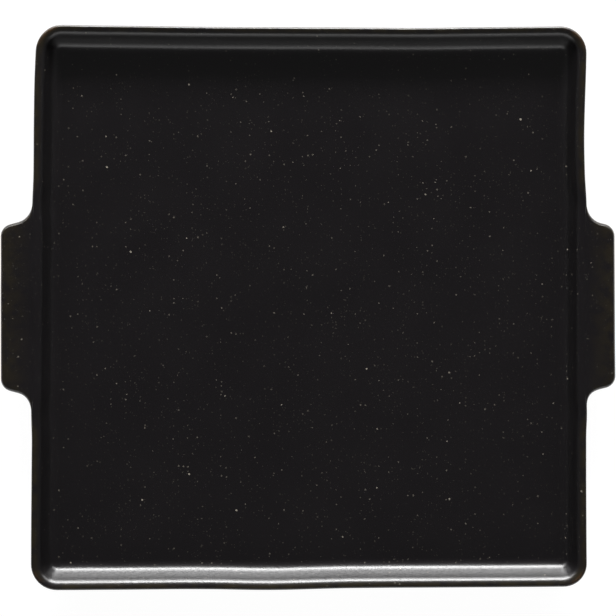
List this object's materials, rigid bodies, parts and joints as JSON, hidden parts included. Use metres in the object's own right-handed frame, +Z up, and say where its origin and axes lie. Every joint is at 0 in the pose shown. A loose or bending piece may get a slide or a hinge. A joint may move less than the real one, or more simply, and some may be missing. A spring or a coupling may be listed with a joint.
{
  "type": "handled serving plate",
  "caption": "Square stoneware serving plate with a low upturned rim, flat lug handles at left and right, a bare foot ring and a black speckled glaze. Carries and serves food.",
  "frame": {"origin": "centre of the plate, on the surface that the foot ring stands on", "axes": "+X towards the right handle, +Y towards the back edge, +Z up out of the well"},
  "size_m": [0.3, 0.2753, 0.0193],
  "materials": {
    "clay": "fired stoneware under the glaze",
    "bare_clay": "unglazed, rubbed smooth",
    "black_glaze": "satin black with cream speckles, breaking to brown on the edges"
  },
  "bodies": {
    "root": {"plate_body": "clay", "left_handle": "clay", "right_handle": "clay", "foot_ring": "bare_clay", "glaze_coat": "black_glaze", "base_glaze": "black_glaze"}
  },
  "joints": []
}
